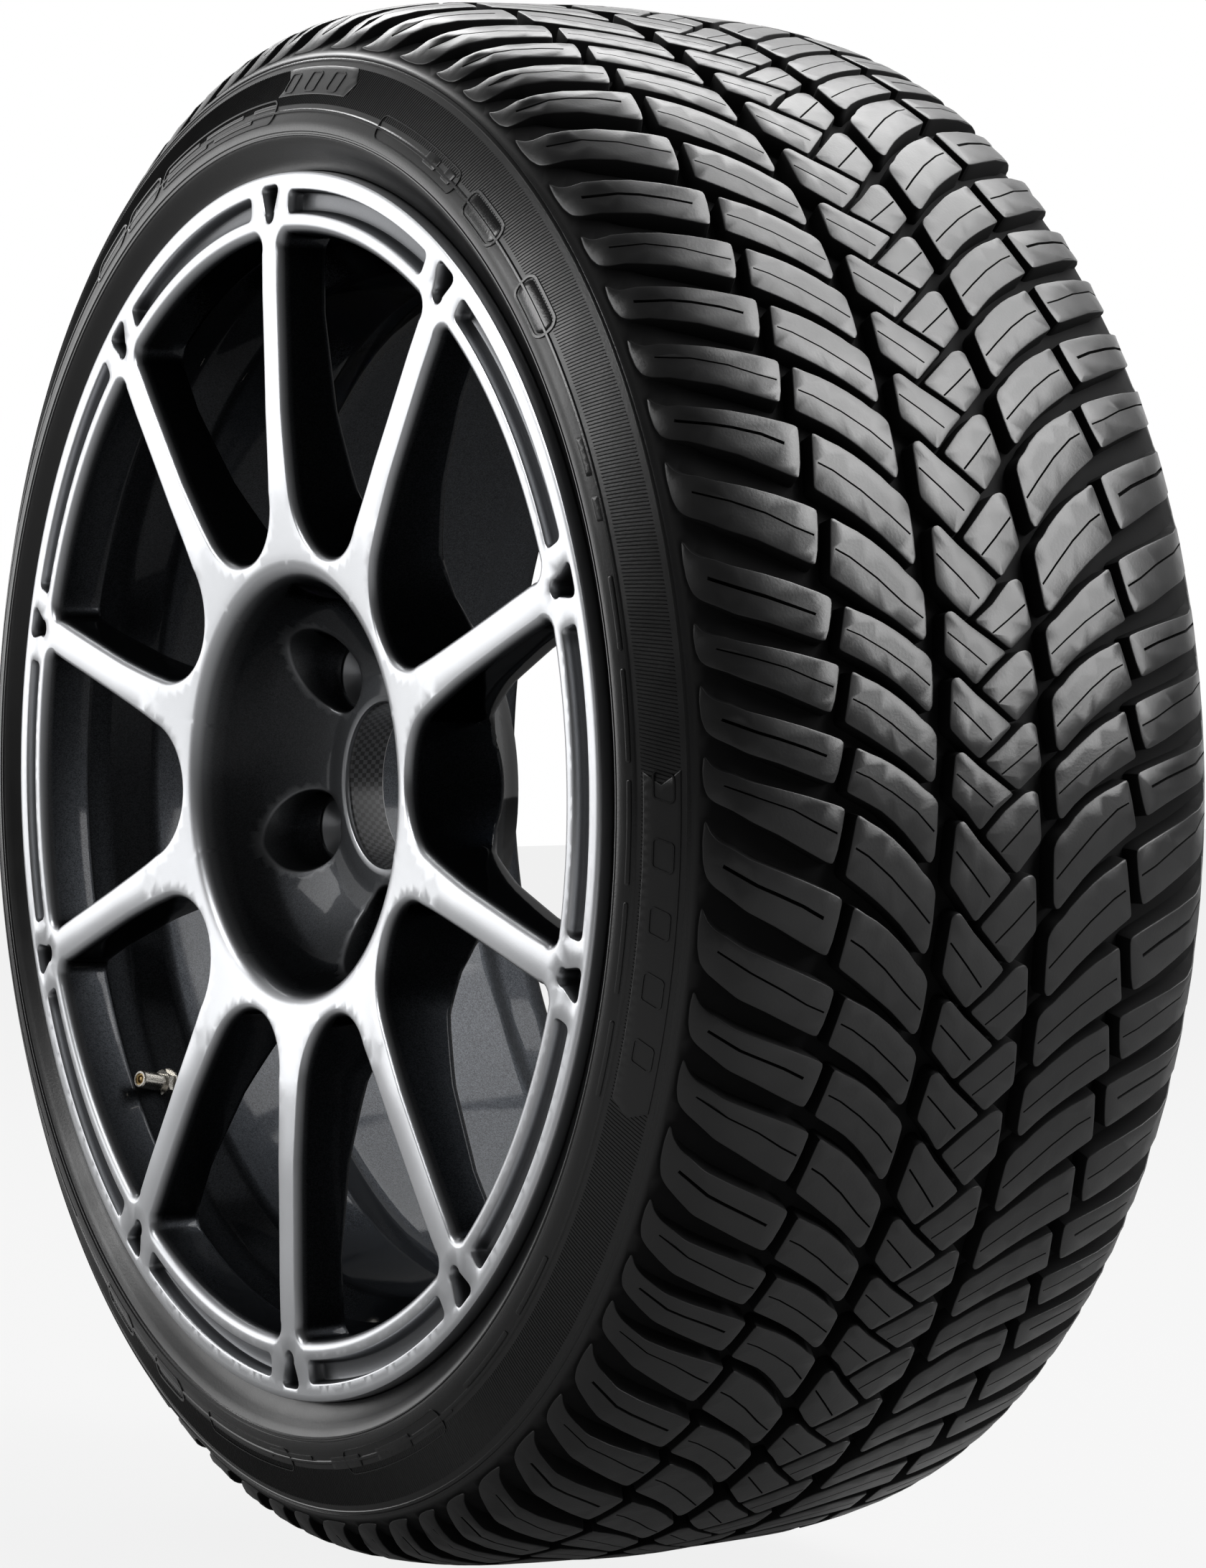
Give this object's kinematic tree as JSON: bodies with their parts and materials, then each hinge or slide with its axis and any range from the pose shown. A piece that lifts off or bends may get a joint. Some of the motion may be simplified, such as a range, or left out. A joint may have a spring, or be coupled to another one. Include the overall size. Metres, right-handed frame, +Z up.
{
  "type": "tyre on wheel",
  "caption": "All-season car tyre mounted on a dark multi-spoke alloy wheel, with a forked spoke end at the rim, a centring ring and a clamp-in metal valve.",
  "frame": {"origin": "centre of the wheel, on its axis of rotation at the middle of the rim's width", "axes": "+Y along the axis of rotation, towards the car; -Y is the street side; +Z up, with the tyre standing on its tread; the bolt circle lies round Y"},
  "size_m": [0.6372, 0.254, 0.637],
  "materials": {
    "tyre": "matte",
    "wheel": "satin",
    "ring": "satin",
    "nickel": "polished",
    "brass": "satin",
    "rubber": "matte",
    "seal": "matte",
    "steel": "satin"
  },
  "bodies": {
    "wheel": {"tyre": "tyre", "wheel": "wheel", "hub_ring": "ring", "valve_stem": "nickel", "valve_grommet": "rubber", "valve_washer": "nickel", "valve_nut": "nickel", "valve_core_barrel": "brass", "valve_core_seal": "seal", "valve_spring": "steel"},
    "core_pin": {"valve_pin": "nickel", "valve_cup": "brass"}
  },
  "joints": [
    {"name": "core_pin_press", "type": "slide", "parent": "wheel", "child": "core_pin", "axis": [-0.2517, 0.9478, -0.1959], "range_m": [0, 0.0012], "stiffness_N_per_m": 500, "springref_m": -0.002, "deforming": ["valve_spring"]}
  ]
}
